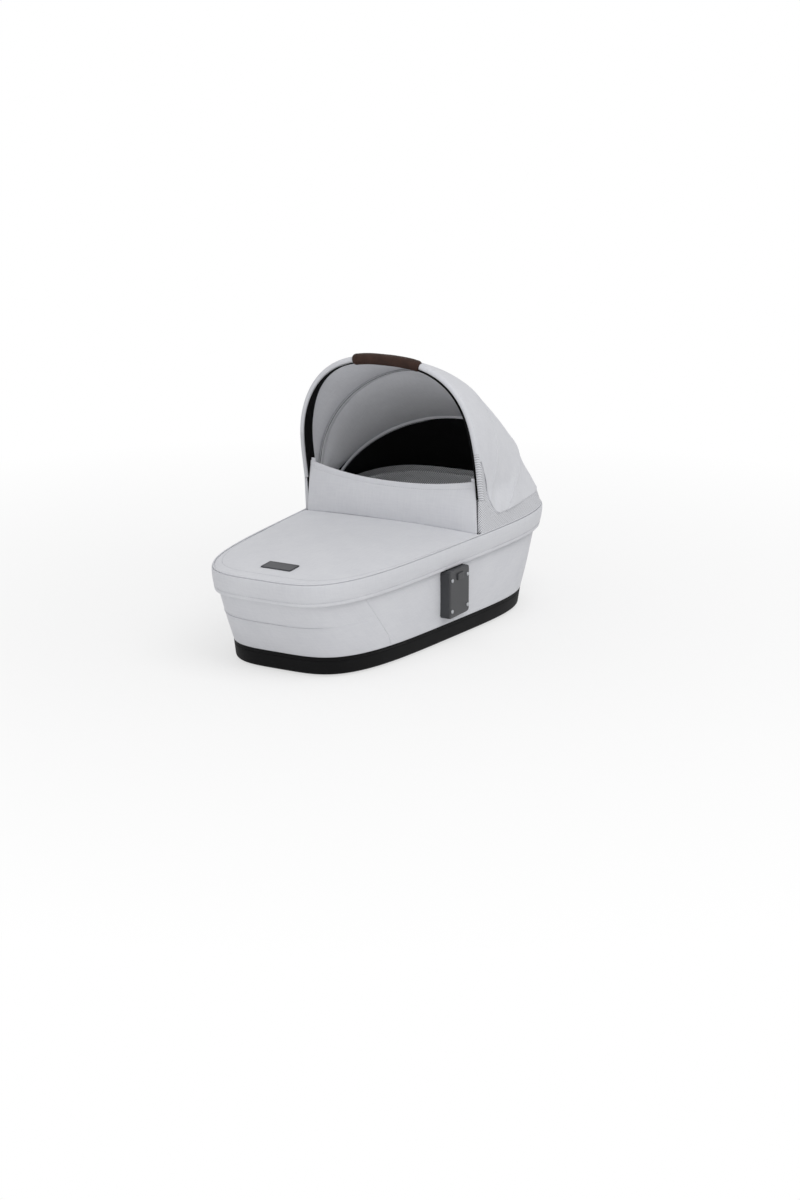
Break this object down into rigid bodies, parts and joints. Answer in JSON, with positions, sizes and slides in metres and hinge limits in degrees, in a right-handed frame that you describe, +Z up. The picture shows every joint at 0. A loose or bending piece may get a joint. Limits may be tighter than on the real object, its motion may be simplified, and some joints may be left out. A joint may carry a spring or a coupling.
{
  "type": "carrycot",
  "caption": "Carrycot for a pushchair chassis: padded tub on a moulded tray, folding hood with a carry grip, apron with an upright wind flap, and side adapters with release buttons.",
  "frame": {"origin": "centre of the part's bounding box, on the floor under the rubber feet", "axes": "+Z up; +Y towards the head end, under the hood; -Y towards the foot end; +X to the sleeper's left when they lie on their back, the right side seen from the foot end"},
  "size_m": [0.3966, 0.799, 0.5045],
  "materials": {
    "light_grey_fabric": "woven melange, matt",
    "grey_lining": "soft jersey, matt",
    "white_ticking": "woven ticking, matt",
    "black_mesh": "open knit, matt",
    "black_plastic": "fine moulded grain",
    "dark_grey_plastic": "satin moulded",
    "frame_plastic": "moulded",
    "board_plastic": "sheet, matt",
    "brown_leatherette": "grained, satin",
    "foot_rubber": "matt",
    "tube_aluminium": "drawn, satin",
    "pin_steel": "zinc plated",
    "badge_metal": "satin, bare"
  },
  "bodies": {
    "tub": {"base_tray": "black_plastic", "foot_pad_front_left": "foot_rubber", "foot_pad_front_right": "foot_rubber", "foot_pad_rear_left": "foot_rubber", "foot_pad_rear_right": "foot_rubber", "wall_board": "board_plastic", "outer_cover": "light_grey_fabric", "rim_frame": "frame_plastic", "rim_band": "light_grey_fabric", "inner_lining": "grey_lining", "floor_board": "board_plastic", "mattress": "white_ticking", "apron_top": "light_grey_fabric", "badge": "badge_metal", "hood_skirt": "light_grey_fabric", "adapter_left": "dark_grey_plastic", "adapter_right": "dark_grey_plastic", "adapter_spring_left": "pin_steel", "adapter_spring_right": "pin_steel", "pivot_pin_left": "pin_steel", "pivot_pin_right": "pin_steel", "adapter_screw_left_lower_front": "pin_steel", "adapter_screw_left_lower_rear": "pin_steel", "adapter_screw_left_upper_front": "pin_steel", "adapter_screw_left_upper_rear": "pin_steel", "adapter_screw_right_lower_front": "pin_steel", "adapter_screw_right_lower_rear": "pin_steel", "adapter_screw_right_upper_front": "pin_steel", "adapter_screw_right_upper_rear": "pin_steel"},
    "rear_hoop": {"rear_bow": "frame_plastic", "hood_back_panel": "light_grey_fabric", "vent_mesh": "black_mesh"},
    "mid_hoop": {"mid_bow": "frame_plastic", "hood_rear_panel": "light_grey_fabric"},
    "front_hoop": {"front_bow": "tube_aluminium", "bow_arm_left": "black_plastic", "bow_arm_right": "black_plastic", "bow_sleeve_left": "light_grey_fabric", "bow_sleeve_right": "light_grey_fabric", "bow_facing_left": "black_mesh", "bow_facing_right": "black_mesh", "handle_grip": "brown_leatherette", "hood_front_panel": "light_grey_fabric"},
    "flap": {"wind_flap": "light_grey_fabric", "flap_tab_left": "light_grey_fabric", "flap_tab_right": "light_grey_fabric"},
    "button_left": {"adapter_button_left": "dark_grey_plastic"},
    "button_right": {"adapter_button_right": "dark_grey_plastic"}
  },
  "joints": [
    {"name": "mid_hoop_fold", "type": "hinge", "parent": "rear_hoop", "child": "mid_hoop", "pos_m": [0, 0.085, 0.176], "axis": [-1, 0, 0], "range_deg": [0, 34], "deforming": ["hood_rear_panel"]},
    {"name": "rear_hoop_fold", "type": "hinge", "parent": "tub", "child": "rear_hoop", "pos_m": [0, 0.085, 0.176], "axis": [-1, 0, 0], "range_deg": [0, 10], "deforming": ["hood_back_panel", "vent_mesh"]},
    {"name": "front_hoop_fold", "type": "hinge", "parent": "mid_hoop", "child": "front_hoop", "pos_m": [0, 0.085, 0.176], "axis": [-1, 0, 0], "range_deg": [0, 10], "deforming": ["hood_front_panel"]},
    {"name": "wind_flap_fold", "type": "hinge", "parent": "tub", "child": "flap", "pos_m": [0, 0.046, 0.1943], "axis": [1, 0, 0], "range_deg": [0, 78]},
    {"name": "adapter_button_left_press", "type": "slide", "parent": "tub", "child": "button_left", "axis": [1, 0, 0], "range_m": [0, 0.003], "stiffness_N_per_m": 1200, "springref_m": -0.001, "deforming": ["adapter_spring_left"]},
    {"name": "adapter_button_right_press", "type": "slide", "parent": "tub", "child": "button_right", "axis": [-1, 0, 0], "range_m": [0, 0.003], "stiffness_N_per_m": 1200, "springref_m": -0.001, "deforming": ["adapter_spring_right"]}
  ],
  "couplings": [
    {"joint": "rear_hoop_fold", "follows": "mid_hoop_fold", "ratio": 0.29},
    {"joint": "front_hoop_fold", "follows": "mid_hoop_fold", "ratio": 0.29}
  ]
}
